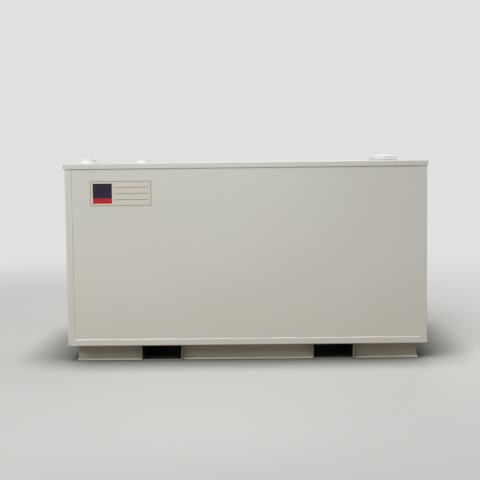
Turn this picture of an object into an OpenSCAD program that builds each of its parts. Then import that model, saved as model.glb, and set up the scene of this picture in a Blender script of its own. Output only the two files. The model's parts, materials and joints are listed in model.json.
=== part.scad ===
// Double wall fuel tank on a skid with two fork pockets.
// Millimetres. The origin is on the floor under the middle of the tank.
// X runs along the tank, Y across it with the front at -Y, and Z is up.

/* [Tank] */
// Length of the outer tank over its corner posts
body_length = 1981; // [1700:1:2400]
// Depth of the outer tank over its corner posts
body_depth = 1219; // [1000:1:1500]
// Height from the floor to the top of the lid
tank_height = 1092; // [900:1:1400]

/* [Plate] */
// Thickness of the four outer walls
wall_steel = 3.4; // [2.5:0.1:5]
// How far the walls lie behind the faces of the posts and rails
wall_step = 1; // [0.5:0.1:2]
// Thickness of the outer floor plate
floor_steel = 4.8; // [3:0.1:6]
// Thickness of every plate of the inner tank
inner_steel = 3.4; // [2.5:0.1:5]

/* [Lid] */
// Thickness of the lid
lid_steel = 2.7; // [2.5:0.1:5]
// Height of the lid's turned-down lip, with the plate
lid_lip = 27.3; // [20:0.1:60]
// Gap between the body and the inside of the lip
lid_gap = 0.5; // [0.5:0.1:8]
// Outside radius of the lid's folded edges
lid_bend = 4; // [4:0.5:8]

/* [Frame] */
// Thickness of the corner posts and bottom rails
frame_steel = 3.4; // [2.5:0.1:4.5]
// Outside bend radius of the posts and rails
frame_bend = 5; // [5:0.5:12]
// Width of each leg of a corner post
post_leg = 36; // [25:0.1:60]
// Height of a bottom rail's upright leg
rail_upright = 33; // [22:0.5:60]
// Depth of a bottom rail's flat leg, under the tank
rail_flat = 50; // [44:1:70]

/* [Skid] */
// Height of the skid, and of the fork pockets outside
skid_height = 85.7; // [70:0.1:130]
// Width of a skid channel's flanges
skid_flange = 50.8; // [38:0.1:70]
// Thickness of the channels
channel_steel = 6.35; // [4:0.05:8]
// Distance from the body's long faces in to the flange toes
skid_inset_side = 40; // [10:1:44]
// Distance from the body's ends in to the ends of the skid
skid_inset_end = 43; // [10:1:80]

/* [Fork pockets] */
// Outside width of a fork pocket
pocket_width = 228.6; // [150:0.1:300]
// Distance between the middles of the two pockets
pocket_spacing = 952; // [700:1:1100]
// Wall thickness of a pocket
pocket_steel = 4.76; // [3:0.02:6.5]
// Outside corner radius of a pocket
pocket_bend = 7; // [7:0.5:12]
// How far a pocket's ends stand out past the flange toes
pocket_proud = 16; // [0:1:38]

/* [Inner tank] */
// Gap between the inner and outer walls
side_gap = 50; // [30:1:80]
// Gap between the inner tank's roof and the lid
roof_gap = 60; // [40:1:100]
// Size of the square tubes that the inner tank stands on
support_size = 50; // [30:1:80]
// Wall thickness of those tubes
support_steel = 4; // [3:0.1:6]
// Number of those tubes
support_count = 4; // [3:1:6]

/* [Fill fitting] */
// Distance of the fill fitting from the middle, along X
fill_x = -873; // [-885:1:-700]
// Distance of the fill and vent fittings behind the front face
front_fittings_y = 150; // [130:1:300]
// Diameter of the fill flange at its foot
fill_foot = 97; // [90:1:120]
// Diameter of the fill cap
fill_cap_size = 82; // [68:1:84]

/* [Vent fitting] */
// Distance of the vent fitting from the middle, along X
vent_x = -567; // [-650:1:-480]
// Diameter of the vent flange at its foot
vent_foot = 87; // [80:1:100]
// Diameter of the vent cap
vent_cap_size = 68; // [54:1:72]

/* [Emergency vent] */
// Distance of the emergency vent from the middle, along X
emergency_x = 831; // [600:1:850]
// Outside diameter of the collar under the cap
emergency_size = 152.4; // [130:0.1:160]
// Wall thickness of that collar
emergency_wall = 4; // [3:0.1:7]
// Gap between the collar and the cap's skirt
emergency_gap = 1.8; // [1:0.1:4]
// Thickness of the cap's skirt
emergency_skirt = 4; // [3:0.1:6]
// Height of the cap's skirt
emergency_cap_lip = 23; // [18:1:40]

/* [Hidden] */
$fn = 64;

// Paint and steel as they look.
paint_white = [0.86, 0.86, 0.83];
bright_white = [0.93, 0.93, 0.91];
primer_grey = [0.45, 0.45, 0.44];

// Half sizes of the outer tank.
half_length = body_length / 2;
half_depth = body_depth / 2;

// Levels, from the floor up.
rail_top = skid_height + rail_upright;
floor_top = skid_height + floor_steel;
lid_under = tank_height - lid_steel;

// Skid: where the toes, webs and ends of the channels lie.
skid_toe = half_depth - skid_inset_side;
skid_web = skid_toe - skid_flange;
skid_end = half_length - skid_inset_end;
pocket_x = pocket_spacing / 2;
pocket_inner_edge = pocket_x - pocket_width / 2;
pocket_outer_edge = pocket_x + pocket_width / 2;
pocket_end = skid_toe + pocket_proud;

// Inner tank: its outside half sizes and levels.
inner_set_in = wall_step + wall_steel + side_gap;
inner_half_length = half_length - inner_set_in;
inner_half_depth = half_depth - inner_set_in;
inner_bottom = floor_top + support_size;
inner_top = lid_under - roof_gap;
support_margin = 220;
support_pitch = 2 * (inner_half_length - support_margin) / (support_count - 1);

// Pipe sizes of the two small fittings.
fill_pipe = 60.3;
fill_pipe_bore = 52.5;
vent_pipe = 48.3;
vent_pipe_bore = 40.9;
plug_clearance = 0.6;

// Heights of the fittings above the lid.
flange_rim = 6;
fill_flange_height = 16;
fill_cap_height = 10;
vent_flange_height = 13;
vent_cap_height = 8;
plug_depth = 12;

// Ring left flat on top of each flange round its cap, and the caps' soft edges.
fill_flange_land = 2;
vent_flange_land = 3;
fill_cap_soft = 5;
vent_cap_soft = 4;

// How far a bore's cutting shape reaches past each end of it.
cut_reach = 1;

// The emergency vent: the dome's rise, the gap under the skirt and the collar.
emergency_cap_rise = 8;
emergency_cap_lift = 3;
emergency_collar_height = emergency_cap_lift + emergency_cap_lip - emergency_skirt;

// Where the two small fittings stand, across the tank.
fitting_y = -half_depth + front_fittings_y;

// Outline of a formed angle. Its outside corner is at the origin.
module angle_outline(leg_x, leg_y) {
    difference() {
        union() {
            translate([frame_bend, 0]) square([leg_x - frame_bend, frame_steel]);
            translate([0, frame_bend]) square([frame_steel, leg_y - frame_bend]);
            intersection() {
                translate([frame_bend, frame_bend]) circle(frame_bend);
                square(frame_bend);
            }
        }
        translate([frame_bend, frame_bend]) circle(frame_bend - frame_steel);
    }
}

// Outline of a skid channel. Its web is at x = 0 and its flanges point to +X.
module channel_outline() {
    difference() {
        square([skid_flange, skid_height]);
        translate([channel_steel, channel_steel])
            square([skid_flange, skid_height - 2 * channel_steel]);
    }
}

// A rectangle about the origin with round corners.
module round_rectangle(wide, high, radius) {
    square([wide - 2 * radius, high], center = true);
    square([wide, high - 2 * radius], center = true);
    for (sx = [-1, 1], sy = [-1, 1])
        translate([sx * (wide / 2 - radius), sy * (high / 2 - radius)]) circle(radius);
}

// A plain plate between two corners.
module plate(low, high) {
    translate(low) cube(high - low);
}

// One stretch of front skid channel, with its toes to the front.
module front_channel(x_start, x_end) {
    color(paint_white)
        translate([x_start, -skid_web, 0])
            rotate([90, 0, 90]) mirror([1, 0, 0])
                linear_extrude(x_end - x_start) channel_outline();
}

// The same stretch on the rear, mirrored.
module rear_channel(x_start, x_end) {
    mirror([0, 1, 0]) front_channel(x_start, x_end);
}

module skid_channel_front_left() front_channel(-skid_end, -pocket_outer_edge);
module skid_channel_front_middle() front_channel(-pocket_inner_edge, pocket_inner_edge);
module skid_channel_front_right() front_channel(pocket_outer_edge, skid_end);
module skid_channel_rear_left() rear_channel(-skid_end, -pocket_outer_edge);
module skid_channel_rear_middle() rear_channel(-pocket_inner_edge, pocket_inner_edge);
module skid_channel_rear_right() rear_channel(pocket_outer_edge, skid_end);

// A channel across the skid, from web to web. Its own web is at x_web.
module cross_channel(x_web) {
    color(paint_white)
        translate([x_web, skid_web, 0])
            rotate([90, 0, 0])
                linear_extrude(2 * skid_web) channel_outline();
}

module skid_cross_left() cross_channel(-skid_end);
module skid_cross_centre() cross_channel(-skid_flange / 2);
module skid_cross_right() mirror([1, 0, 0]) cross_channel(-skid_end);

// A fork pocket: a rectangular tube right through the skid, open at both ends.
module fork_pocket(side) {
    color(primer_grey)
        translate([side * pocket_x, pocket_end, skid_height / 2])
            rotate([90, 0, 0])
                linear_extrude(2 * pocket_end)
                    difference() {
                        round_rectangle(pocket_width, skid_height, pocket_bend);
                        round_rectangle(pocket_width - 2 * pocket_steel,
                                        skid_height - 2 * pocket_steel,
                                        pocket_bend - pocket_steel);
                    }
}

module fork_pocket_left() fork_pocket(-1);
module fork_pocket_right() fork_pocket(1);

// The outer floor lies between the flat legs of the four rails.
module outer_floor() {
    x = half_length - rail_flat;
    y = half_depth - rail_flat;
    color(paint_white) plate([-x, -y, skid_height], [x, y, floor_top]);
}

// A bottom rail of one length, along X, mitred at both ends.
// Its outside lower edge lies on y = 0, z = 0, and it runs about x = 0.
module mitred_rail(length) {
    difference() {
        translate([-length / 2, 0, 0])
            rotate([90, 0, 90])
                linear_extrude(length) angle_outline(rail_flat, rail_upright);
        for (flip = [0, 1])
            mirror([flip, 0, 0])
                translate([length / 2, 0, 0]) rotate([0, 0, 45]) mitre_block();
    }
}

// The block that a mitre cut takes away, on the +X side of its own YZ plane.
module mitre_block() {
    reach = 4 * rail_flat;
    translate([0, -reach, -reach]) cube([reach, 2 * reach, 2 * reach]);
}

module long_rail() {
    color(paint_white) translate([0, -half_depth, skid_height]) mitred_rail(body_length);
}

module end_rail() {
    color(paint_white)
        translate([-half_length, 0, skid_height]) rotate([0, 0, -90]) mitred_rail(body_depth);
}

module bottom_rail_front() long_rail();
module bottom_rail_rear() mirror([0, 1, 0]) long_rail();
module bottom_rail_left() end_rail();
module bottom_rail_right() mirror([1, 0, 0]) end_rail();

// A corner post, standing on the rails. This is the front left one.
module corner_post() {
    color(paint_white)
        translate([-half_length, -half_depth, rail_top])
            linear_extrude(lid_under - rail_top) angle_outline(post_leg, post_leg);
}

module corner_post_front_left() corner_post();
module corner_post_front_right() mirror([1, 0, 0]) corner_post();
module corner_post_rear_left() mirror([0, 1, 0]) corner_post();
module corner_post_rear_right() mirror([1, 0, 0]) mirror([0, 1, 0]) corner_post();

// The outer walls stand on the rails between the posts, edge to edge with both.
module front_wall() {
    x = half_length - post_leg;
    y = half_depth - wall_step;
    color(paint_white) plate([-x, -y, rail_top], [x, -y + wall_steel, lid_under]);
}

module left_wall() {
    x = half_length - wall_step;
    y = half_depth - post_leg;
    color(paint_white) plate([-x, -y, rail_top], [-x + wall_steel, y, lid_under]);
}

module rear_wall() mirror([0, 1, 0]) front_wall();
module right_wall() mirror([1, 0, 0]) left_wall();

// Outline of the lid across one way: square below, with two round top corners.
module lid_outline(half_width) {
    translate([-half_width, -lid_lip]) square([2 * half_width, lid_lip - lid_bend]);
    translate([-half_width + lid_bend, -lid_lip])
        square([2 * (half_width - lid_bend), lid_lip]);
    for (side = [-1, 1])
        translate([side * (half_width - lid_bend), -lid_bend]) circle(lid_bend);
}

// The lid is a folded pan, with a hole under each fitting.
module lid() {
    x = half_length + lid_gap + lid_steel;
    y = half_depth + lid_gap + lid_steel;
    color(bright_white)
        difference() {
            intersection() {
                translate([0, y, tank_height])
                    rotate([90, 0, 0]) linear_extrude(2 * y) lid_outline(x);
                translate([-x, 0, tank_height])
                    rotate([90, 0, 90]) linear_extrude(2 * x) lid_outline(y);
            }
            plate([-x + lid_steel, -y + lid_steel, tank_height - 2 * lid_lip],
                  [x - lid_steel, y - lid_steel, lid_under]);
            fitting_holes(lid_under, lid_steel);
        }
}

// The three holes, cut through a plate of one thickness.
module fitting_holes(level, thickness) {
    translate([fill_x, fitting_y, level - thickness])
        cylinder(d = fill_pipe_bore, h = 3 * thickness);
    translate([vent_x, fitting_y, level - thickness])
        cylinder(d = vent_pipe_bore, h = 3 * thickness);
    translate([emergency_x, 0, level - thickness])
        cylinder(d = emergency_size - 2 * emergency_wall, h = 3 * thickness);
}

// Square tubes between the two floors.
module inner_supports() {
    color(primer_grey)
        for (i = [0 : support_count - 1])
            translate([-inner_half_length + support_margin + i * support_pitch,
                       inner_half_depth, floor_top + support_size / 2])
                rotate([90, 0, 0])
                    linear_extrude(2 * inner_half_depth)
                        difference() {
                            square(support_size, center = true);
                            square(support_size - 2 * support_steel, center = true);
                        }
}

module inner_floor() {
    color(primer_grey)
        plate([-inner_half_length, -inner_half_depth, inner_bottom],
              [inner_half_length, inner_half_depth, inner_bottom + inner_steel]);
}

module inner_front_wall() {
    color(primer_grey)
        plate([-inner_half_length, -inner_half_depth, inner_bottom + inner_steel],
              [inner_half_length, -inner_half_depth + inner_steel, inner_top - inner_steel]);
}

module inner_left_wall() {
    y = inner_half_depth - inner_steel;
    color(primer_grey)
        plate([-inner_half_length, -y, inner_bottom + inner_steel],
              [-inner_half_length + inner_steel, y, inner_top - inner_steel]);
}

module inner_rear_wall() mirror([0, 1, 0]) inner_front_wall();
module inner_right_wall() mirror([1, 0, 0]) inner_left_wall();

module inner_roof() {
    color(primer_grey)
        difference() {
            plate([-inner_half_length, -inner_half_depth, inner_top - inner_steel],
                  [inner_half_length, inner_half_depth, inner_top]);
            fitting_holes(inner_top - inner_steel, inner_steel);
        }
}

// A pipe from the inner roof up to the lid.
module riser(x, y, outside, bore) {
    color(primer_grey)
        translate([x, y, inner_top])
            difference() {
                cylinder(d = outside, h = roof_gap);
                translate([0, 0, -cut_reach]) cylinder(d = bore, h = roof_gap + 2 * cut_reach);
            }
}

module fill_riser() riser(fill_x, fitting_y, fill_pipe, fill_pipe_bore);
module vent_riser() riser(vent_x, fitting_y, vent_pipe, vent_pipe_bore);
module emergency_vent_riser() {
    riser(emergency_x, 0, emergency_size, emergency_size - 2 * emergency_wall);
}

// A weld flange on the lid: a flat rim, a sloping hub and a bore.
module weld_flange(x, foot, top, high, bore) {
    color(bright_white)
        translate([x, fitting_y, tank_height])
            difference() {
                union() {
                    cylinder(d = foot, h = flange_rim);
                    translate([0, 0, flange_rim])
                        cylinder(d1 = foot, d2 = top, h = high - flange_rim);
                }
                translate([0, 0, -cut_reach]) cylinder(d = bore, h = high + 2 * cut_reach);
            }
}

// A round cap with a softened top edge and a plug that fills the bore.
module plug_cap(x, seat, size, high, soft, bore) {
    color(bright_white)
        translate([x, fitting_y, tank_height + seat]) {
            rotate_extrude() cap_outline(size / 2, high, soft);
            translate([0, 0, -plug_depth]) cylinder(d = bore - 2 * plug_clearance, h = plug_depth);
        }
}

// Half the outline of a cap: flat below, with a rounded upper edge.
module cap_outline(radius, high, soft) {
    intersection() {
        square([radius, high]);
        union() {
            square([radius - soft, high]);
            square([radius, high - soft]);
            translate([radius - soft, high - soft]) circle(soft);
        }
    }
}

module fill_flange() {
    weld_flange(fill_x, fill_foot, fill_cap_size + 2 * fill_flange_land,
                fill_flange_height, fill_pipe_bore);
}

module vent_flange() {
    weld_flange(vent_x, vent_foot, vent_cap_size + 2 * vent_flange_land,
                vent_flange_height, vent_pipe_bore);
}

module fill_cap() {
    plug_cap(fill_x, fill_flange_height, fill_cap_size, fill_cap_height,
             fill_cap_soft, fill_pipe_bore);
}

module vent_cap() {
    plug_cap(vent_x, vent_flange_height, vent_cap_size, vent_cap_height,
             vent_cap_soft, vent_pipe_bore);
}

// A short length of pipe that carries the emergency vent's cap.
module emergency_vent_collar() {
    color(bright_white)
        translate([emergency_x, 0, tank_height])
            difference() {
                cylinder(d = emergency_size, h = emergency_collar_height);
                translate([0, 0, -cut_reach])
                    cylinder(d = emergency_size - 2 * emergency_wall,
                             h = emergency_collar_height + 2 * cut_reach);
            }
}

// The loose cap: a skirt round the collar, under a low dome that rests on it.
module emergency_vent_cap() {
    inner_radius = emergency_size / 2 + emergency_gap;
    cap_radius = inner_radius + emergency_skirt;
    cap_height = emergency_cap_lip + emergency_cap_rise;
    dome_radius = (cap_radius * cap_radius + emergency_cap_rise * emergency_cap_rise)
                  / (2 * emergency_cap_rise);
    color(bright_white)
        translate([emergency_x, 0, tank_height + emergency_cap_lift])
            rotate_extrude()
                difference() {
                    intersection() {
                        square([cap_radius, cap_height]);
                        translate([0, cap_height - dome_radius]) circle(dome_radius, $fn = 720);
                    }
                    square([inner_radius, emergency_cap_lip - emergency_skirt]);
                }
}

skid_channel_front_left();
skid_channel_front_middle();
skid_channel_front_right();
skid_channel_rear_left();
skid_channel_rear_middle();
skid_channel_rear_right();
skid_cross_left();
skid_cross_centre();
skid_cross_right();
fork_pocket_left();
fork_pocket_right();
outer_floor();
bottom_rail_front();
bottom_rail_rear();
bottom_rail_left();
bottom_rail_right();
corner_post_front_left();
corner_post_front_right();
corner_post_rear_left();
corner_post_rear_right();
front_wall();
rear_wall();
left_wall();
right_wall();
lid();
inner_supports();
inner_floor();
inner_front_wall();
inner_rear_wall();
inner_left_wall();
inner_right_wall();
inner_roof();
fill_riser();
fill_flange();
fill_cap();
vent_riser();
vent_flange();
vent_cap();
emergency_vent_riser();
emergency_vent_collar();
emergency_vent_cap();
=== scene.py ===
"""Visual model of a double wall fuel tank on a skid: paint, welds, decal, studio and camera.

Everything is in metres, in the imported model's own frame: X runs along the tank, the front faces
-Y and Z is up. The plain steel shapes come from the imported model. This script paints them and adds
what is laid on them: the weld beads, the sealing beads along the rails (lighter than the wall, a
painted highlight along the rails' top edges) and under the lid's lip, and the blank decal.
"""
import json
import logging
import math
from dataclasses import dataclass
from enum import Enum
from typing import Dict, Iterable, List, Optional, Sequence, Tuple, Union

import bmesh
import bpy
from mathutils import Matrix, Vector


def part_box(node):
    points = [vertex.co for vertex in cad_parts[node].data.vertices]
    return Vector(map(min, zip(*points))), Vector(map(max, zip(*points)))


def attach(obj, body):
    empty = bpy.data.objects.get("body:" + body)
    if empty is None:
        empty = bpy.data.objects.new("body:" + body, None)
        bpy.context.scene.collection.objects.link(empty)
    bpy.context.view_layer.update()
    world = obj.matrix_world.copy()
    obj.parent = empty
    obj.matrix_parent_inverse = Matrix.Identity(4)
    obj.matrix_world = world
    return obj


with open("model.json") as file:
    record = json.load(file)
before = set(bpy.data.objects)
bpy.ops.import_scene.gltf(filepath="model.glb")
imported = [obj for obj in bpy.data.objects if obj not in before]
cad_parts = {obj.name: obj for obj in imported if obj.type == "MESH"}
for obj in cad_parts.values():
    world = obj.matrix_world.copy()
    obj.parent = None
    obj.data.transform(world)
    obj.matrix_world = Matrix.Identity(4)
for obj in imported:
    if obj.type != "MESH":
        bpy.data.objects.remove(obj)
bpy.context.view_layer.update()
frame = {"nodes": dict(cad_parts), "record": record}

log = logging.getLogger("fuel_tank")

BODY = "root"

Colour = Tuple[int, int, int]
Point = Tuple[float, float, float]


def linear(colour: Colour) -> Tuple[float, float, float, float]:
    """Turns a display colour into the linear one that shaders take.

    Args:
        colour: red, green and blue, from 0 to 255.

    Returns:
        Linear red, green, blue and an alpha of 1.
    """
    def channel(value: int) -> float:
        """Returns one channel on the linear scale, by the sRGB curve."""
        share = value / 255
        return share / 12.92 if share <= 0.04045 else ((share + 0.055) / 1.055) ** 2.4
    red, green, blue = colour
    return channel(red), channel(green), channel(blue), 1.0


# ---------------------------------------------------------------- nodes as expressions

class Wire:
    """One output socket. Arithmetic on it adds Math nodes to its tree."""

    def __init__(self, graph: "Graph", socket: bpy.types.NodeSocket) -> None:
        """Holds the socket and the graph that it belongs to."""
        self.graph = graph
        self.socket = socket

    def _math(self, operation: str, first: "Value", second: "Value") -> "Wire":
        """Adds one Math node.

        Args:
            operation: the Math node's operation.
            first: its first value.
            second: its second value.

        Returns:
            The node's result.
        """
        node = self.graph.add("ShaderNodeMath", {"operation": operation}, {0: first, 1: second})
        return Wire(self.graph, node.outputs[0])

    def __add__(self, other: "Value") -> "Wire":
        """Returns self + other."""
        return self._math("ADD", self, other)

    def __radd__(self, other: "Value") -> "Wire":
        """Returns other + self."""
        return self._math("ADD", other, self)

    def __sub__(self, other: "Value") -> "Wire":
        """Returns self - other."""
        return self._math("SUBTRACT", self, other)

    def __rsub__(self, other: "Value") -> "Wire":
        """Returns other - self."""
        return self._math("SUBTRACT", other, self)

    def __mul__(self, other: "Value") -> "Wire":
        """Returns self * other."""
        return self._math("MULTIPLY", self, other)

    def __rmul__(self, other: "Value") -> "Wire":
        """Returns other * self."""
        return self._math("MULTIPLY", other, self)

    def __truediv__(self, other: "Value") -> "Wire":
        """Returns self / other."""
        return self._math("DIVIDE", self, other)

    def __rtruediv__(self, other: "Value") -> "Wire":
        """Returns other / self."""
        return self._math("DIVIDE", other, self)

    def __lt__(self, other: "Value") -> "Wire":
        """Returns 1 where self is less than other, and 0 elsewhere."""
        return self._math("LESS_THAN", self, other)

    def __gt__(self, other: "Value") -> "Wire":
        """Returns 1 where self is greater than other: the reflected form of less than."""
        return self._math("GREATER_THAN", self, other)

    def __abs__(self) -> "Wire":
        """Returns the size of self without its sign."""
        return self._math("ABSOLUTE", self, 0.0)

    def sine(self) -> "Wire":
        """Returns the sine of self, in radians."""
        return self._math("SINE", self, 0.0)

    def larger(self, other: "Value") -> "Wire":
        """Returns the larger of self and other."""
        return self._math("MAXIMUM", self, other)


Value = Union[float, Wire]


class Graph:
    """A node tree and the few ways in which this script adds to it."""

    def __init__(self, tree: bpy.types.NodeTree) -> None:
        """Takes over a tree and empties it."""
        self.tree = tree
        self.tree.nodes.clear()

    def add(self, kind: str, settings: Optional[Dict[str, object]] = None,
            inputs: Optional[Dict[Union[int, str], object]] = None) -> bpy.types.Node:
        """Adds one node of any kind.

        Args:
            kind: the node's type.
            settings: its settings, which are made first.
            inputs: a number, colour, vector or Wire for each socket that is named or numbered.

        Returns:
            The new node.
        """
        node = self.tree.nodes.new(kind)
        for name, setting in (settings or {}).items():
            setattr(node, name, setting)
        for key, value in (inputs or {}).items():
            if isinstance(value, Wire):
                self.tree.links.new(value.socket, node.inputs[key])
            else:
                node.inputs[key].default_value = value
        return node

    def out(self, node: bpy.types.Node, socket: Union[int, str] = 0) -> Wire:
        """Returns one output of a node as a Wire."""
        return Wire(self, node.outputs[socket])

    def smooth(self, value: Wire, start: float, end: float) -> Wire:
        """Eases from 0 to 1.

        Args:
            value: what the easing follows.
            start: the value at which the result is 0.
            end: the value at which the result is 1. It may be below start.

        Returns:
            The eased share.
        """
        low, high = min(start, end), max(start, end)
        node = self.add("ShaderNodeMapRange", {"interpolation_type": "SMOOTHSTEP"},
                        {"Value": value, "From Min": low, "From Max": high})
        share = self.out(node)
        return share if start < end else 1 - share

    def stretch(self, vector: Wire, factors: Point) -> Wire:
        """Returns a vector with each of its parts multiplied by its own factor."""
        return self.out(self.add("ShaderNodeVectorMath", {"operation": "MULTIPLY"},
                                 {0: vector, 1: factors}))

    def noise(self, vector: Wire, scale: Value, detail: float = 2.0, seed: Value = 0.0,
              output: str = "Fac") -> Wire:
        """Adds soft noise.

        Args:
            vector: where the noise is read.
            scale: lumps to a metre.
            detail: how many finer layers it has.
            seed: picks another pattern.
            output: "Fac" for a value or "Color" for three at once.

        Returns:
            The noise, from about 0 to 1.
        """
        node = self.add("ShaderNodeTexNoise", {"noise_dimensions": "4D"},
                        {"Vector": vector, "W": seed, "Scale": scale, "Detail": detail})
        return self.out(node, output)

    def mix_shaders(self, share: Wire, first: Wire, second: Wire) -> Wire:
        """Mixes two shaders.

        Args:
            share: how much of the second shows, from 0 to 1.
            first: a shader.
            second: a shader.

        Returns:
            The mixed shader.
        """
        return self.out(self.add("ShaderNodeMixShader", inputs={0: share, 1: first, 2: second}))

    def split(self, vector: Wire) -> Tuple[Wire, Wire, Wire]:
        """Returns the three parts of a vector."""
        node = self.add("ShaderNodeSeparateXYZ", inputs={0: vector})
        return self.out(node, 0), self.out(node, 1), self.out(node, 2)


class Paintwork(Graph):
    """A material's graph, with object coordinates at hand and a Principled shader at its end."""

    def __init__(self, name: str) -> None:
        """Makes an empty material.

        Args:
            name: the material's name.
        """
        self.material = bpy.data.materials.new(name)
        self.material.use_nodes = True
        super().__init__(self.material.node_tree)
        coordinates = self.add("ShaderNodeTexCoord")
        self.place = self.out(coordinates, "Object")
        self.facing = self.out(coordinates, "Normal")

    def blend(self, share: Value, first: object, second: object) -> Wire:
        """Mixes two colours.

        Args:
            share: how much of the second shows, from 0 to 1.
            first: a colour or a Wire.
            second: a colour or a Wire.

        Returns:
            The mixed colour.
        """
        node = self.add("ShaderNodeMix", {"data_type": "RGBA", "clamp_factor": True},
                        {0: share, 6: first, 7: second})
        return self.out(node, 2)

    def bump(self, height: Wire, depth: float, under: Optional[Wire] = None) -> Wire:
        """Raises the surface by a height.

        Args:
            height: the height, from 0 to 1.
            depth: what a height of 1 is, in metres.
            under: the normal of coarser bumps that these lie on.

        Returns:
            The new normal.
        """
        inputs: Dict[Union[int, str], object] = {"Height": height, "Distance": depth}
        if under is not None:
            inputs["Normal"] = under
        return self.out(self.add("ShaderNodeBump", inputs=inputs))

    def finish(self, inputs: Dict[Union[int, str], object]) -> bpy.types.Material:
        """Ends the graph in a Principled shader.

        Args:
            inputs: a value or Wire for each of the shader's sockets that is set.

        Returns:
            The finished material.
        """
        shader = self.out(self.add("ShaderNodeBsdfPrincipled", inputs=inputs))
        self.add("ShaderNodeOutputMaterial", inputs={"Surface": shader})
        return self.material


# ---------------------------------------------------------------- finishes

@dataclass(frozen=True)
class SprayedPaint:
    """Satin topcoat sprayed on steel, with orange peel, faint runs and dust low down."""

    name: str
    colour: Colour
    shade: Colour
    dust: Colour
    dust_full: float
    dust_clear: float
    dust_share: float
    top_dust_share: float
    roughness: float
    dusty_roughness: float
    peel_depth: float
    scuff_share: float = 0.0

    CLOUD_SCALE = 1.6
    GRIT_SCALE = 48
    PEEL_SCALE = 420
    SWELL_DEPTH = 0.003
    SHADE_RANGE = (0.3, 0.75)
    SHADE_SHARE = 0.6
    RUN_STRETCH = (26.0, 26.0, 1.1)
    RUN_RANGE = (0.52, 0.8)
    RUN_SHARE = 0.15
    LEVEL_RANGE = (0.5, 0.95)
    SETTLED_RANGE = (0.75, 1.25)
    DUST_PATCHES = (0.55, 0.6)
    DUST_GRAIN = (0.7, 0.6)
    ROUGHNESS_SWING = 0.06
    SCUFF_STRETCH = (9.0, 60.0, 150.0)
    SCUFF_RANGE = (0.62, 0.68)
    SCUFF_GRIT_RANGE = (0.4, 0.6)
    SCUFF_COLOUR = (112, 104, 94)

    def material(self) -> bpy.types.Material:
        """Builds the material.

        Returns:
            The paint's material.
        """
        work = Paintwork(self.name)
        _, _, up = work.split(work.place)
        _, _, facing_up = work.split(work.facing)
        cloud = work.noise(work.place, scale=self.CLOUD_SCALE, detail=3)
        streaks = work.noise(work.stretch(work.place, self.RUN_STRETCH), scale=1, detail=2, seed=4)
        grit = work.noise(work.place, scale=self.GRIT_SCALE, detail=4, seed=7)
        peel = work.noise(work.place, scale=self.PEEL_SCALE, detail=1, seed=2)

        least, swing = self.DUST_PATCHES
        low_dust = work.smooth(up, self.dust_clear, self.dust_full) * (least + swing * cloud)
        settled = work.smooth(facing_up, *self.LEVEL_RANGE)
        top_dust = settled * work.smooth(grit + cloud, *self.SETTLED_RANGE)
        dust_mask = low_dust * self.dust_share + top_dust * self.top_dust_share
        run_mask = work.smooth(streaks, *self.RUN_RANGE) * self.RUN_SHARE
        tone = work.blend(work.smooth(cloud, *self.SHADE_RANGE) * self.SHADE_SHARE + run_mask,
                          linear(self.colour), linear(self.shade))
        least, swing = self.DUST_GRAIN
        colour = work.blend(dust_mask * (least + swing * grit), tone, linear(self.dust))
        if self.scuff_share:
            scratches = work.noise(work.stretch(work.place, self.SCUFF_STRETCH),
                                   scale=1, detail=5, seed=11)
            worn = (work.smooth(scratches, *self.SCUFF_RANGE)
                    * work.smooth(grit, *self.SCUFF_GRIT_RANGE))
            colour = work.blend(worn * self.scuff_share, colour, linear(self.SCUFF_COLOUR))

        swells = work.bump(cloud, depth=self.SWELL_DEPTH)
        return work.finish({
            "Base Color": colour,
            "Roughness": self.roughness + self.ROUGHNESS_SWING * (grit - 0.5)
            + (self.dusty_roughness - self.roughness) * settled.larger(dust_mask),
            "Normal": work.bump(peel, depth=self.peel_depth, under=swells),
        })


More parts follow.
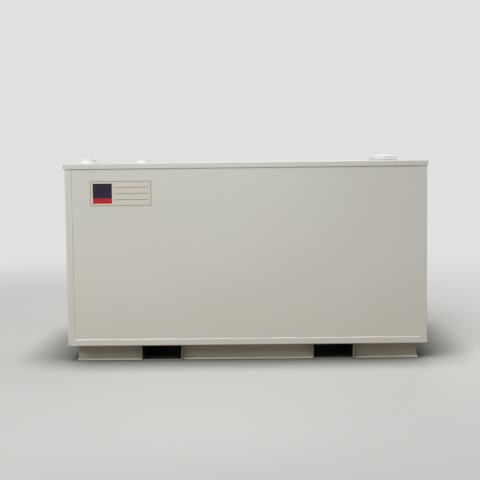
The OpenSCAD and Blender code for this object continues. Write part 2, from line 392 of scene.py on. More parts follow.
@dataclass(frozen=True)
class PocketSteel:
    """Paint that fades into dark mill steel inside a fork pocket, scraped by the forks."""

    name: str
    paint: Colour
    steel: Colour
    scrape: Colour
    rust: Colour
    mouth: float
    overspray: float

    GRIT_SCALE = 55
    GRIT_DEPTH = 0.0004
    CLOUD_SCALE = 9
    SCRATCH_STRETCH = (190.0, 4.0, 90.0)
    SCRATCH_RANGE = (0.56, 0.72)
    SCRATCH_SHARE = 0.5
    RUST_CLOUD = 0.4
    RUST_RANGE = (0.78, 0.95)
    RUST_SHARE = 0.7
    RAGGED_EDGE = 0.003
    CHIP_RANGE = (0.6, 0.7)
    CHIP_REACH = 0.004
    CHIP_SHARE = 0.7
    BARE_ROUGHNESS = 0.62
    PAINT_GLOSS = 0.14
    SCRATCH_GLOSS = 0.12
    SCRATCH_METAL = 0.5

    def material(self) -> bpy.types.Material:
        """Builds the material.

        Returns:
            The pocket's material.
        """
        work = Paintwork(self.name)
        _, across, _ = work.split(work.place)
        grit = work.noise(work.place, scale=self.GRIT_SCALE, detail=5, seed=3)
        cloud = work.noise(work.place, scale=self.CLOUD_SCALE, detail=3, seed=5)
        scratches = work.noise(work.stretch(work.place, self.SCRATCH_STRETCH),
                               scale=1, detail=4, seed=8)

        depth = self.mouth - abs(across)
        painted = work.smooth(depth - self.RAGGED_EDGE * cloud, self.overspray, 0.0)
        scraped = work.smooth(scratches, *self.SCRATCH_RANGE)
        rusty = work.smooth(grit + self.RUST_CLOUD * cloud, *self.RUST_RANGE)
        bare = work.blend(rusty * self.RUST_SHARE, linear(self.steel), linear(self.rust))
        bare = work.blend(scraped * self.SCRATCH_SHARE, bare, linear(self.scrape))
        chipped = work.smooth(grit, *self.CHIP_RANGE) * work.smooth(depth, self.CHIP_REACH, 0.0)
        shown_paint = painted * (1 - self.CHIP_SHARE * chipped)
        return work.finish({
            "Base Color": work.blend(shown_paint, bare, linear(self.paint)),
            "Roughness": self.BARE_ROUGHNESS - self.PAINT_GLOSS * shown_paint
            - self.SCRATCH_GLOSS * scraped,
            "Metallic": self.SCRATCH_METAL * scraped * (1 - shown_paint),
            "Normal": work.bump(grit, depth=self.GRIT_DEPTH),
        })


@dataclass(frozen=True)
class Primer:
    """Dull primer on the steel of the inner tank."""

    name: str
    colour: Colour
    shade: Colour

    CLOUD_SCALE = 3
    GRAIN_SCALE = 300
    GRAIN_DEPTH = 0.00008
    ROUGHNESS = 0.68
    ROUGHNESS_SWING = 0.1

    def material(self) -> bpy.types.Material:
        """Builds the material.

        Returns:
            The primer's material.
        """
        work = Paintwork(self.name)
        cloud = work.noise(work.place, scale=self.CLOUD_SCALE, detail=4)
        grain = work.noise(work.place, scale=self.GRAIN_SCALE, detail=2, seed=1)
        return work.finish({
            "Base Color": work.blend(cloud, linear(self.colour), linear(self.shade)),
            "Roughness": self.ROUGHNESS + self.ROUGHNESS_SWING * (grain - 0.5),
            "Normal": work.bump(grain, depth=self.GRAIN_DEPTH),
        })


@dataclass(frozen=True)
class DecalVinyl:
    """Cream vinyl printed with a border, one block of colour and blank ruled lines."""

    name: str
    centre: Point
    width: float
    height: float
    cream: Colour
    ink: Colour
    red: Colour
    margin: float = 0.007
    line: float = 0.0020
    block: float = 0.105
    band: float = 0.030
    rules: int = 3

    BLOCK_GAP_LINES = 3
    BLOCK_INSET_LINES = 12
    CREAM_DROP = 8
    GRAIN_SCALE = 90
    GRAIN_SHARE = 0.5
    RIPPLE_SCALE = 35
    RIPPLE_DEPTH = 0.0002
    ROUGHNESS = 0.34
    ROUGHNESS_SWING = 0.1
    SHINE = 0.3

    def material(self) -> bpy.types.Material:
        """Builds the material.

        Returns:
            The decal's material.
        """
        work = Paintwork(self.name)
        centred = work.add("ShaderNodeMapping", {"vector_type": "POINT"},
                           {"Vector": work.place, "Location": [-part for part in self.centre]})
        across, _, up = work.split(work.out(centred))
        half_width, half_height = self.width / 2 - self.margin, self.height / 2 - self.margin

        def panel(middle_x: float, middle_z: float, wide: float, high: float) -> Wire:
            """Returns 1 inside a rectangle about a middle, and 0 outside it."""
            return (abs(across - middle_x) < wide / 2) * (abs(up - middle_z) < high / 2)

        edge = panel(0, 0, 2 * half_width, 2 * half_height)
        edge = edge - panel(0, 0, 2 * (half_width - self.line), 2 * (half_height - self.line))
        block_x = (self.margin + self.block / 2 + self.line * self.BLOCK_GAP_LINES
                   - half_width)
        block_high = 2 * half_height - self.line * self.BLOCK_INSET_LINES
        block = panel(block_x, 0, self.block, block_high)
        band = panel(block_x, (self.band - block_high) / 2, self.block, self.band)
        rule_left = block_x + self.block / 2 + self.margin * 2
        rule_right = half_width - self.margin * 2
        rule_x, rule_wide = (rule_left + rule_right) / 2, rule_right - rule_left
        pitch = 2 * half_height / (self.rules + 1)
        ink = edge + block - band
        for row in range(self.rules):
            level = half_height - pitch * (row + 1)
            ink = ink + panel(rule_x, level, rule_wide, self.line)
        grain = work.noise(work.place, scale=self.GRAIN_SCALE, detail=3)
        darker = tuple(channel - self.CREAM_DROP for channel in self.cream)
        cream = work.blend(grain * self.GRAIN_SHARE, linear(self.cream), linear(darker))
        printed = work.blend(ink, cream, linear(self.ink))
        return work.finish({
            "Base Color": work.blend(band, printed, linear(self.red)),
            "Specular IOR Level": self.SHINE,
            "Roughness": self.ROUGHNESS + self.ROUGHNESS_SWING * grain,
            "Normal": work.bump(work.noise(work.place, scale=self.RIPPLE_SCALE, detail=2),
                                depth=self.RIPPLE_DEPTH),
        })


# ---------------------------------------------------------------- making meshes

def own(piece: bpy.types.Object) -> bpy.types.Object:
    """Hands a finished piece to the tank's body.

    Args:
        piece: the piece, with its place in its mesh.

    Returns:
        The same piece.
    """
    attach(piece, BODY)
    log.info("%s: %d faces", piece.name, len(piece.data.polygons))
    return piece


def mesh_object(name: str, shape: bmesh.types.BMesh) -> bpy.types.Object:
    """Turns a bmesh into an object in the scene and frees the bmesh.

    Args:
        name: the object's name.
        shape: what it is made of.

    Returns:
        The new object, at the origin.
    """
    mesh = bpy.data.meshes.new(name)
    shape.to_mesh(mesh)
    shape.free()
    made = bpy.data.objects.new(name, mesh)
    bpy.context.scene.collection.objects.link(made)
    return made


def arc(middle: Point, radius: float, start: float, end: float, steps: int) -> List[Point]:
    """Returns points along a level arc.

    Args:
        middle: the arc's centre.
        radius: its radius.
        start: its first angle from +X, in degrees.
        end: its last angle.
        steps: how many stretches it has.

    Returns:
        steps + 1 points.
    """
    x, y, z = middle
    angles = [math.radians(start + (end - start) * step / steps) for step in range(steps + 1)]
    return [(x + radius * math.cos(a), y + radius * math.sin(a), z) for a in angles]


@dataclass(frozen=True)
class Seam:
    """A line that a bead is laid along."""

    points: Sequence[Point]
    closed: bool = False


@dataclass(frozen=True)
class Bead:
    """How a bead is laid: its size, its ripples and how far it strays from its line."""

    radius: float
    ripple_pitch: float
    ripple_height: float
    wander: float
    wander_length: float
    seed: float


class BeadLayer:
    """Geometry Nodes tree that lays a rippled bead along every edge of a mesh."""

    PROFILE_SIDES = 7
    RINGS_PER_RIPPLE = 3
    SWELL = 0.5
    SWELL_SEED = 5
    NOISE_MIDDLE = 0.5
    NOISE_TO_UNIT = 2
    MERGE_DISTANCE = 1e-6

    def __init__(self) -> None:
        """Builds the tree, with one named input for each size of a bead."""
        self.tree = bpy.data.node_groups.new("bead_along_edges", "GeometryNodeTree")
        graph = Graph(self.tree)
        self.sockets = {name: self._input(name, kind) for name, kind in (
            ("Seam", "NodeSocketGeometry"), ("Radius", "NodeSocketFloat"),
            ("Ripple Pitch", "NodeSocketFloat"), ("Ripple Height", "NodeSocketFloat"),
            ("Wander", "NodeSocketFloat"), ("Wander Length", "NodeSocketFloat"),
            ("Seed", "NodeSocketFloat"), ("Finish", "NodeSocketMaterial"))}
        self.tree.interface.new_socket("Bead", in_out="OUTPUT", socket_type="NodeSocketGeometry")
        given = graph.add("NodeGroupInput")
        wires = {name: graph.out(given, name) for name in self.sockets}

        curve = graph.out(graph.add("GeometryNodeMeshToCurve", inputs={"Mesh": wires["Seam"]}))
        curve = graph.out(graph.add(
            "GeometryNodeResampleCurve", {"mode": "LENGTH"},
            {"Curve": curve, "Length": wires["Ripple Pitch"] / self.RINGS_PER_RIPPLE}))
        place = graph.out(graph.add("GeometryNodeInputPosition"))
        stray = graph.noise(place, 1 / wires["Wander Length"], detail=1, seed=wires["Seed"],
                            output="Color")
        centred = graph.add("ShaderNodeVectorMath", {"operation": "SUBTRACT"},
                            {0: stray, 1: (self.NOISE_MIDDLE,) * 3})
        offset = graph.add("ShaderNodeVectorMath", {"operation": "SCALE"}, {
            0: graph.out(centred), "Scale": wires["Wander"] * self.NOISE_TO_UNIT})
        curve = graph.out(graph.add("GeometryNodeSetPosition",
                                    inputs={"Geometry": curve, "Offset": graph.out(offset)}))

        run = graph.add("GeometryNodeSplineParameter")
        keep = graph.add("GeometryNodeCaptureAttribute", inputs={"Geometry": curve})
        keep.capture_items.new("FLOAT", "Run")
        self.tree.links.new(run.outputs["Length"], keep.inputs["Run"])
        swell = graph.noise(place, 1 / wires["Wander Length"], detail=1,
                            seed=wires["Seed"] + self.SWELL_SEED)
        profile = graph.add("GeometryNodeCurvePrimitiveCircle", {"mode": "RADIUS"},
                            {"Resolution": self.PROFILE_SIDES, "Radius": wires["Radius"]})
        tube = graph.out(graph.add("GeometryNodeCurveToMesh", inputs={
            "Curve": graph.out(keep), "Profile Curve": graph.out(profile),
            "Scale": 1 + self.SWELL * (swell - self.NOISE_MIDDLE), "Fill Caps": True}))

        beat = abs((graph.out(keep, "Run") * math.pi / wires["Ripple Pitch"]).sine())
        outward = graph.out(graph.add("GeometryNodeInputNormal"))
        ripple = graph.add("ShaderNodeVectorMath", {"operation": "SCALE"},
                           {0: outward, "Scale": beat * wires["Ripple Height"]})
        bead = graph.out(graph.add("GeometryNodeSetPosition",
                                   inputs={"Geometry": tube, "Offset": graph.out(ripple)}))
        bead = graph.out(graph.add("GeometryNodeSetShadeSmooth", inputs={"Geometry": bead}))
        bead = graph.out(graph.add("GeometryNodeRealizeInstances", inputs={"Geometry": bead}))
        bead = graph.out(graph.add("GeometryNodeSetMaterial",
                                   inputs={"Geometry": bead, "Material": wires["Finish"]}))
        graph.add("NodeGroupOutput", inputs={"Bead": bead})

    def _input(self, name: str, kind: str) -> str:
        """Adds an input to the tree and returns its identifier."""
        made = self.tree.interface.new_socket(name, in_out="INPUT", socket_type=kind)
        return made.identifier

    def lay(self, name: str, seams: Iterable[Seam], bead: Bead,
            finish: bpy.types.Material) -> bpy.types.Object:
        """Lays beads and turns them into one plain mesh.

        Args:
            name: the new object's name.
            seams: the lines that the beads follow.
            bead: how they are laid.
            finish: what they are painted with.

        Returns:
            The beads, as one object at the origin.
        """
        lines = bmesh.new()
        for seam in seams:
            corners = [lines.verts.new(point) for point in seam.points]
            if seam.closed:
                corners.append(corners[0])
            for first, second in zip(corners, corners[1:]):
                lines.edges.new((first, second))
        made = mesh_object(name, lines)
        modifier = made.modifiers.new("bead", "NODES")
        modifier.node_group = self.tree
        for socket, value in (("Radius", bead.radius), ("Ripple Pitch", bead.ripple_pitch),
                              ("Ripple Height", bead.ripple_height), ("Wander", bead.wander),
                              ("Wander Length", bead.wander_length), ("Seed", bead.seed),
                              ("Finish", finish)):
            modifier[self.sockets[socket]] = value
        depsgraph = bpy.context.evaluated_depsgraph_get()
        mesh = bpy.data.meshes.new_from_object(made.evaluated_get(depsgraph), depsgraph=depsgraph)
        made.modifiers.clear()
        made.data = mesh
        self._face_outward(mesh)
        return made

    def _face_outward(self, mesh: bpy.types.Mesh) -> None:
        """Joins a closed mesh's doubled corners and turns its faces outward."""
        shape = bmesh.new()
        shape.from_mesh(mesh)
        bmesh.ops.remove_doubles(shape, verts=shape.verts, dist=self.MERGE_DISTANCE)
        bmesh.ops.recalc_face_normals(shape, faces=shape.faces)
        shape.to_mesh(mesh)
        shape.free()


# ---------------------------------------------------------------- the tank

class Side(Enum):
    """A side of the tank, by its turn from the front about Z, in degrees."""

    FRONT = 0
    RIGHT = 90
    REAR = 180
    LEFT = 270

    @property
    def long(self) -> bool:
        """True for the two long sides."""
        return self in (Side.FRONT, Side.REAR)

    def place(self, along: float, out: float, up: float) -> Point:
        """Finds a point on this side.

        Args:
            along: distance from the side's middle, to the right as one faces it.
            out: distance from the middle of the tank.
            up: height.

        Returns:
            The point in the model's frame.
        """
        turned = Matrix.Rotation(math.radians(self.value), 3, "Z") @ Vector((along, -out, up))
        return tuple(turned)


@dataclass
class TankShell:
    """The outer tank: the seams between its posts, rails, walls and lid."""

    post_bead: Bead = Bead(radius=0.0019, ripple_pitch=0.006, ripple_height=0.0003,
                           wander=0.0005, wander_length=0.03, seed=1)
    rail_bead: Bead = Bead(radius=0.0055, ripple_pitch=0.012, ripple_height=0.0,
                           wander=0.0004, wander_length=0.12, seed=5)
    rail_bead_proud: float = 0.0008
    rail_bead_lift: float = 0.0012
    lip_bead: Bead = Bead(radius=0.0030, ripple_pitch=0.009, ripple_height=0.0,
                          wander=0.0022, wander_length=0.16, seed=2)
    corner_bead: Bead = Bead(radius=0.0016, ripple_pitch=0.006, ripple_height=0.0003,
                             wander=0.0003, wander_length=0.02, seed=3)
    foot_bead: Bead = Bead(radius=0.0010, ripple_pitch=0.006, ripple_height=0.0001,
                           wander=0.0001, wander_length=0.02, seed=4)
    bend_radius: float = 0.005
    bend_steps: int = 6
    lid_bend: float = 0.004

    def __post_init__(self) -> None:
        """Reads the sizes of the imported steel."""
        self.post_low, self.post_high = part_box("corner_post_front_left")
        self.rail_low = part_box("bottom_rail_front")[0]
        self.lid_low, self.lid_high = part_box("lid")
        self.post_leg = self.post_high.x - self.post_low.x
        self.rail_top = self.post_low.z
        self.set_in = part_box("front_wall")[0].y - self.post_low.y

    def reach(self, side: Side) -> Tuple[float, float]:
        """Returns a side's half width and its distance from the middle."""
        half_length, half_depth = -self.post_low.x, -self.post_low.y
        return (half_length, half_depth) if side.long else (half_depth, half_length)

    def post_seams(self, side: Side) -> List[Seam]:
        """Returns the two upright seams between a wall and its posts."""
        half_width, out = self.reach(side)
        edge, face = half_width - self.post_leg, out - self.set_in
        return [Seam([side.place(along, face, up) for up in (self.lid_low.z, self.rail_top)])
                for along in (-edge, edge)]

    def rail_seam(self, side: Side) -> Seam:
        """Returns the seam where a wall stands on its rail, most of its bead behind the wall."""
        half_width, out = self.reach(side)
        edge, back = half_width - self.post_leg, out + self.rail_bead_proud - self.rail_bead.radius
        up = self.rail_top + self.rail_bead_lift
        return Seam([side.place(along, back, up) for along in (-edge, edge)])

    def lip_seams(self, side: Side) -> List[Seam]:
        """Returns the seams under the lid's lip: over the wall and over both posts."""
        half_width, out = self.reach(side)
        edge = half_width - self.post_leg
        up = self.lid_low.z
        wall_line = out - self.set_in / 2
        spans = ((-edge, edge, wall_line),
                 (self.bend_radius - half_width, -edge, out),
                 (edge, half_width - self.bend_radius, out))
        return [Seam([side.place(start, at, up), side.place(end, at, up)])
                for start, end, at in spans]

    def foot_seam(self, side: Side) -> Seam:
        """Returns the ground seam round the foot of the post at a side's left corner."""
        half_width, out = self.reach(side)
        bend = self.bend_radius
        start = (self.post_leg - half_width, -out, self.rail_top)
        middle = (bend - half_width, bend - out, self.rail_top)
        end = (-half_width, self.post_leg - out, self.rail_top)
        line = [start, *arc(middle, bend, 270, 180, self.bend_steps), end]
        return Seam([side.place(x, -y, z) for x, y, z in line])

    def corner_seams(self, side: Side) -> List[Seam]:
        """Returns the upright seams of the rail and of the lid at a side's left corner."""
        half_width, out = self.reach(side)
        proud = self.post_low.x - self.lid_low.x
        rail = [(-half_width, out, self.rail_low.z + self.bend_radius),
                (-half_width, out, self.rail_top)]
        lid = [(-half_width - proud, out + proud, self.lid_low.z),
               (-half_width - proud, out + proud, self.lid_high.z - self.lid_bend)]
        return [Seam([side.place(*point) for point in line]) for line in (rail, lid)]

    def build(self, layer: BeadLayer, paint: bpy.types.Material,
              highlight_sealant: bpy.types.Material) -> List[bpy.types.Object]:
        """Lays every bead of the shell.

        Args:
            layer: the bead layer.
            paint: the tank's paint.
            highlight_sealant: the finish of the bead along the rails: white sealant, lighter than
                the wall paint, which also paints a highlight along the rails' top edges.

        Returns:
            The five sets of beads.
        """
        post = [seam for side in Side for seam in self.post_seams(side)]
        rail = [self.rail_seam(side) for side in Side]
        lip = [seam for side in Side for seam in self.lip_seams(side)]
        corner = [seam for side in Side for seam in self.corner_seams(side)]
        foot = [self.foot_seam(side) for side in Side]
        return [own(layer.lay(name, seams, bead, finish))
                for name, seams, bead, finish in (
                    ("panel_welds", post, self.post_bead, paint),
                    # The rail bead is lighter than the wall: white sealant, and also a painted
                    # highlight along the rail's top edge.
                    ("rail_sealant_highlight_bead", rail, self.rail_bead, highlight_sealant),
                    ("lip_sealing_bead", lip, self.lip_bead, paint),
                    ("corner_welds", corner, self.corner_bead, paint),
                    ("post_foot_seams", foot, self.foot_bead, paint))]


@dataclass
class Skid:
    """The skid: the welds that hold its channels to the fork pockets and to the rails."""

    bead: Bead = Bead(radius=0.0032, ripple_pitch=0.006, ripple_height=0.0005,
                      wander=0.0004, wander_length=0.02, seed=6)
    steel: float = 0.00635
    stitch: float = 0.060
    stitch_pitch: float = 0.240

    def __post_init__(self) -> None:
        """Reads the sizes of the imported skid."""
        self.channels = [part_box(f"skid_channel_front_{name}")
                         for name in ("left", "middle", "right")]

    def pocket_seams(self, end: float, rear: int) -> Seam:
        """Follows the inside of a channel's section where it meets a pocket.

        Args:
            end: where along X the channel stops.
            rear: 1 for the front and -1 for the rear.

        Returns:
            The seam.
        """
        low, high = self.channels[0]
        toe, web = low.y * rear, (high.y - self.steel) * rear
        bottom, top = low.z + self.steel, high.z - self.steel
        return Seam([(end, toe, bottom), (end, web, bottom), (end, web, top), (end, toe, top)])

    def stitch_seams(self, low: Vector, high: Vector, rear: int) -> List[Seam]:
        """Spaces short stitches evenly along the toe of one channel.

        Args:
            low: the channel's lowest corner.
            high: its highest corner.
            rear: 1 for the front and -1 for the rear.

        Returns:
            The stitches.
        """
        count = max(1, round((high.x - low.x) / self.stitch_pitch))
        pitch = (high.x - low.x) / count
        middles = [low.x + pitch * (number + 0.5) for number in range(count)]
        return [Seam([(x - self.stitch / 2, low.y * rear, high.z),
                      (x + self.stitch / 2, low.y * rear, high.z)]) for x in middles]

    def build(self, layer: BeadLayer, paint: bpy.types.Material) -> List[bpy.types.Object]:
        """Lays the skid's welds.

        Args:
            layer: the bead layer.
            paint: the skid's paint.

        Returns:
            The two sets of beads.
        """
        left, middle, right = self.channels
        ends = (left[1].x, middle[0].x, middle[1].x, right[0].x)
        joints = [self.pocket_seams(end, rear) for rear in (1, -1) for end in ends]
        stitches = [seam for rear in (1, -1) for low, high in self.channels
                    for seam in self.stitch_seams(low, high, rear)]
        return [own(layer.lay("pocket_welds", joints, self.bead, paint)),
                own(layer.lay("skid_stitches", stitches, self.bead, paint))]


@dataclass
class Fittings:
    """The three fittings on the lid: the welds round their feet."""

    bead: Bead = Bead(radius=0.0030, ripple_pitch=0.005, ripple_height=0.0005,
                      wander=0.0003, wander_length=0.02, seed=8)
    steps: int = 48
    feet: Tuple[str, ...] = ("fill_flange", "vent_flange", "emergency_vent_collar")

    def foot_seam(self, node: str) -> Seam:
        """Returns the ring round the foot of one fitting."""
        low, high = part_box(node)
        middle = ((low.x + high.x) / 2, (low.y + high.y) / 2, low.z)
        ring = arc(middle, (high.x - low.x) / 2, 0, 360, self.steps)
        return Seam(ring[:-1], closed=True)

    def build(self, layer: BeadLayer, paint: bpy.types.Material) -> bpy.types.Object:
        """Lays the rings of weld.

        Args:
            layer: the bead layer.
            paint: the fittings' paint.

        Returns:
            The beads.
        """
        rings = [self.foot_seam(node) for node in self.feet]
        return own(layer.lay("fitting_welds", rings, self.bead, paint))


@dataclass
class Decal:
    """The blank vinyl decal on the front wall, near its upper left corner."""

    width: float = 0.346
    height: float = 0.148
    from_left: float = 0.134
    middle_height: float = 0.929
    thickness: float = 0.0004
    corner: float = 0.006
    corner_steps: int = 6

    @property
    def centre(self) -> Point:
        """The middle of the decal's back, on the wall."""
        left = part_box("corner_post_front_left")[0].x + self.from_left
        return (left + self.width / 2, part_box("front_wall")[0].y, self.middle_height)

    def build(self, finish: bpy.types.Material) -> bpy.types.Object:
        """Cuts the decal with round corners and gives it its thickness.

        Args:
            finish: the vinyl.

        Returns:
            The decal.
        """
        x, y, z = self.centre
        run_x, run_z = self.width / 2 - self.corner, self.height / 2 - self.corner
        outline = []
        for quarter, (sx, sz) in enumerate(((1, 1), (-1, 1), (-1, -1), (1, -1))):
            turn = arc((x + sx * run_x, z + sz * run_z, y), self.corner,
                       90 * quarter, 90 * quarter + 90, self.corner_steps)
            outline += [(across, wall, up) for across, up, wall in turn]
        shape = bmesh.new()
        back = shape.faces.new([shape.verts.new(point) for point in outline])
        raised = bmesh.ops.extrude_face_region(shape, geom=[back])
        moved = [item for item in raised["geom"] if isinstance(item, bmesh.types.BMVert)]
        bmesh.ops.translate(shape, verts=moved, vec=(0, -self.thickness, 0))
        bmesh.ops.recalc_face_normals(shape, faces=shape.faces)
        made = mesh_object("blank_decal", shape)
        made.data.materials.append(finish)
        return own(made)


# ---------------------------------------------------------------- studio and camera

class LampKind(Enum):
    """The two kinds of lamp in the studio."""

    SKYLIGHT = "SUN"
    SOFTBOX = "AREA"


@dataclass(frozen=True)
class Lamp:
    """A soft lamp: an even skylight from one side, or a square softbox."""

    name: str
    kind: LampKind
    place: Point
    aim: Point
    spread: float
    strength: float

    def hang(self) -> bpy.types.Object:
        """Hangs the lamp and turns it to what it lights.

        Returns:
            The lamp's object.
        """
        light = bpy.data.lights.new(self.name, self.kind.value)
        if self.kind is LampKind.SKYLIGHT:
            light.angle = math.radians(self.spread)
        else:
            light.size = self.spread
        light.energy = self.strength
        lamp = bpy.data.objects.new(self.name, light)
        lamp.location = self.place
        gaze = Vector(self.aim) - Vector(self.place)
        lamp.rotation_euler = gaze.to_track_quat("-Z", "Y").to_euler()
        bpy.context.scene.collection.objects.link(lamp)
        return lamp


@dataclass(frozen=True)
class Studio:
    """A pale floor with a painted shadow close to the tank, running into a pale background, and six
    soft lamps.
    """

    background: Colour = (224, 224, 222)
    floor_shown: Colour = (188, 188, 186)
    # Painted shadow: the floor colour that ambient occlusion mixes in close to the tank.
    floor_painted_shadow: Colour = (44, 42, 38)
    painted_shadow_reach: float = 0.35
    painted_shadow_samples: int = 8
    floor_bounce: Colour = (130, 118, 99)
    ambient: float = 0.22
    half_floor: float = 14.0
    fade_start: float = 2.6
    fade_end: float = 6.0
    lamps: Tuple[Lamp, ...] = (
        Lamp("high_skylight", LampKind.SKYLIGHT, (-2.0, -4.2, 8.0), (0.0, 0.0, 0.0),
             spread=36, strength=1.75),
        Lamp("low_skylight", LampKind.SKYLIGHT, (-2.0, -4.6, 4.2), (0.0, 0.0, 0.0),
             spread=30, strength=0.25),
        Lamp("left_softbox", LampKind.SOFTBOX, (-4.4, -3.4, 3.4), (-0.6, -0.4, 0.7),
             spread=2.2, strength=130),
        Lamp("front_softbox", LampKind.SOFTBOX, (-0.1, -2.3, 1.3), (-0.05, -0.6, 0.2),
             spread=0.7, strength=4.6),
        Lamp("right_softbox", LampKind.SOFTBOX, (5.2, 0.0, 2.4), (0.9, 0.0, 0.6),
             spread=2.2, strength=105),
        Lamp("rear_softbox", LampKind.SOFTBOX, (1.2, 6.4, 4.6), (0.0, 0.4, 0.6),
             spread=3.4, strength=185),
    )

    @staticmethod
    def _seen(graph: Graph) -> Wire:
        """Returns 1 for rays that show a background: to the camera, in gloss and through glass."""
        path = graph.add("ShaderNodeLightPath")
        camera = graph.out(path, "Is Camera Ray")
        gloss = graph.out(path, "Is Glossy Ray")
        return camera.larger(gloss).larger(graph.out(path, "Is Transmission Ray"))

    @staticmethod
    def _matt(work: Paintwork, colour: Colour) -> Wire:
        """Returns a matt shader of one colour."""
        return work.out(work.add("ShaderNodeBsdfDiffuse", inputs={"Color": linear(colour)}))

    def lay_floor(self) -> bpy.types.Object:
        """Lays the floor. It is pale to look at, has a painted shadow close to what stands on it,
        and throws little light back up.

        Returns:
            The floor.
        """
        half = self.half_floor
        shape = bmesh.new()
        shape.faces.new([shape.verts.new((x, y, 0.0)) for x, y in
                         ((-half, -half), (half, -half), (half, half), (-half, half))])
        floor = mesh_object("studio_floor", shape)
        work = Paintwork("studio_floor")
        length = work.out(work.add("ShaderNodeVectorMath", {"operation": "LENGTH"},
                                   {0: work.place}), "Value")
        # Painted shadow: ambient occlusion mixes a dark floor colour in close to the tank.
        open_sky = work.out(work.add(
            "ShaderNodeAmbientOcclusion", {"samples": self.painted_shadow_samples},
            {"Distance": self.painted_shadow_reach}), "AO")
        painted_shadow_shader = self._matt(work, self.floor_painted_shadow)
        clear = self._matt(work, self.floor_shown)
        near = work.mix_shaders(open_sky * open_sky, painted_shadow_shader, clear)
        far = work.out(work.add("ShaderNodeEmission", inputs={"Color": linear(self.background)}))
        shown = work.mix_shaders(work.smooth(length, self.fade_start, self.fade_end), near, far)
        dull = self._matt(work, self.floor_bounce)
        both = work.mix_shaders(self._seen(work), dull, shown)
        work.add("ShaderNodeOutputMaterial", inputs={"Surface": both})
        floor.data.materials.append(work.material)
        return floor

    def light_world(self) -> None:
        """Fills the world with the background's colour to look at, and dim light otherwise."""
        world = bpy.data.worlds.new("studio_world")
        world.use_nodes = True
        graph = Graph(world.node_tree)
        dim = graph.out(graph.add("ShaderNodeBackground", inputs={
            "Color": (1, 1, 1, 1), "Strength": self.ambient}))
        shown = graph.out(graph.add("ShaderNodeBackground", inputs={
            "Color": linear(self.background), "Strength": 1.0}))
        both = graph.mix_shaders(self._seen(graph), dim, shown)
        graph.add("ShaderNodeOutputWorld", inputs={"Surface": both})
        bpy.context.scene.world = world

    def build(self) -> None:
        """Lays the floor, lights the world, hangs the lamps and sets plain colour."""
        self.lay_floor()
        self.light_world()
        for lamp in self.lamps:
            lamp.hang()
        bpy.context.scene.view_settings.view_transform = "Standard"


@dataclass(frozen=True)
class Viewpoint:
    """The camera: in front of the tank, a little above its lid."""

    beyond_front: float = 5.645
    across: float = 0.0245
    height: float = 1.1163
    pitch: float = 4.552
    yaw: float = -0.594
    roll: float = 0.672
    lens: float = 77.48
    sensor: float = 36.0

    def build(self) -> bpy.types.Object:
        """Sets up the camera.

        Returns:
            The camera.
        """
        optics = bpy.data.cameras.new("camera")
        optics.lens = self.lens
        optics.sensor_width = self.sensor
        camera = bpy.data.objects.new("camera", optics)
        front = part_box("corner_post_front_left")[0].y
        level = Matrix.Rotation(math.radians(90 - self.pitch), 4, "X")
        turned = Matrix.Rotation(math.radians(-self.yaw), 4, "Z")
        tilted = Matrix.Rotation(math.radians(-self.roll), 4, "Z")
        place = Matrix.Translation((self.across, front - self.beyond_front, self.height))
        camera.matrix_world = place @ turned @ level @ tilted
        bpy.context.scene.collection.objects.link(camera)
        bpy.context.scene.camera = camera
        return camera


# ---------------------------------------------------------------- putting it together

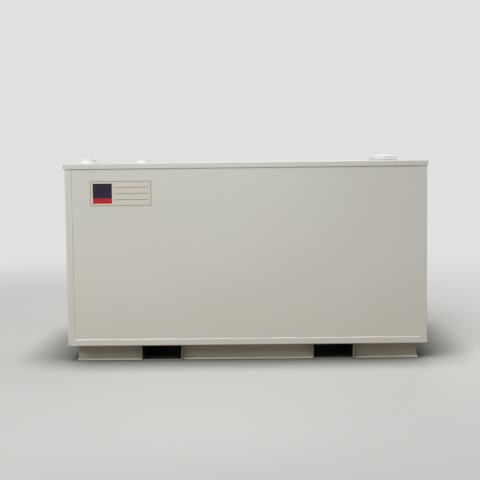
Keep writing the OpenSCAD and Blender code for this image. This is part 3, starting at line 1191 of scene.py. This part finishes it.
def mix_finishes() -> Dict[str, bpy.types.Material]:
    """Mixes the finish of every material slot in the record, and the highlight sealant: white
    sealant that also paints a highlight along the rails.

    Returns:
        Each slot's material.
    """
    finishes = {
        "tank_paint": SprayedPaint(
            "tank_paint", colour=(204, 205, 200), shade=(202, 201, 195), dust=(191, 178, 161),
            dust_full=0.05, dust_clear=0.7, dust_share=0.26, top_dust_share=0.10,
            roughness=0.42, dusty_roughness=0.8, peel_depth=0.00002),
        # Lighter than the tank paint: white sealant on the rail beads, which also serves as a
        # painted highlight along the rails' top edges.
        "highlight_sealant": SprayedPaint(
            "highlight_sealant", colour=(228, 227, 223), shade=(220, 218, 212), dust=(196, 188, 176),
            dust_full=0.0, dust_clear=0.4, dust_share=0.1, top_dust_share=0.1,
            roughness=0.5, dusty_roughness=0.7, peel_depth=0.00003),
        "skid_paint": SprayedPaint(
            "skid_paint", colour=(202, 200, 191), shade=(194, 190, 180), dust=(152, 141, 123),
            dust_full=0.0, dust_clear=0.12, dust_share=0.5, top_dust_share=0.2,
            roughness=0.5, dusty_roughness=0.85, peel_depth=0.00003, scuff_share=0.5),
        "fitting_paint": SprayedPaint(
            "fitting_paint", colour=(214, 214, 211), shade=(210, 209, 206), dust=(178, 173, 163),
            dust_full=0.5, dust_clear=0.6, dust_share=0.0, top_dust_share=0.35,
            roughness=0.5, dusty_roughness=0.7, peel_depth=0.00001),
        "pocket_steel": PocketSteel(
            "pocket_steel", paint=(126, 122, 113), steel=(42, 40, 37), scrape=(84, 80, 75),
            rust=(70, 50, 36), mouth=-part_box("fork_pocket_left")[0].y, overspray=0.003),
        "inner_steel": Primer("inner_steel", colour=(118, 118, 116), shade=(104, 103, 101)),
    }
    return {slot: finish.material() for slot, finish in finishes.items()}


def dress_steel(finishes: Dict[str, bpy.types.Material]) -> None:
    """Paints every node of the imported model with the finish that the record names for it.

    Args:
        finishes: each slot's material.
    """
    for part in frame["record"]["subparts"]:
        slots = frame["nodes"][part["node"]].material_slots
        for slot in slots:
            slot.link = "OBJECT"
            slot.material = finishes[part["material_slot"]]
        log.info("%s: %s", part["node"], part["material_slot"])


def main() -> None:
    """Builds the camera, the studio, the finishes and every piece in order."""
    logging.basicConfig(level=logging.INFO, format="%(name)s %(message)s")
    Viewpoint().build()
    Studio().build()
    finishes = mix_finishes()
    dress_steel(finishes)
    layer = BeadLayer()
    TankShell().build(layer, finishes["tank_paint"], finishes["highlight_sealant"])
    Skid().build(layer, finishes["skid_paint"])
    Fittings().build(layer, finishes["fitting_paint"])
    decal = Decal()
    decal.build(DecalVinyl(
        "decal_vinyl", centre=decal.centre, width=decal.width, height=decal.height,
        cream=(207, 204, 194), ink=(34, 20, 44), red=(170, 32, 44)).material())


if __name__ == "__main__":
    main()
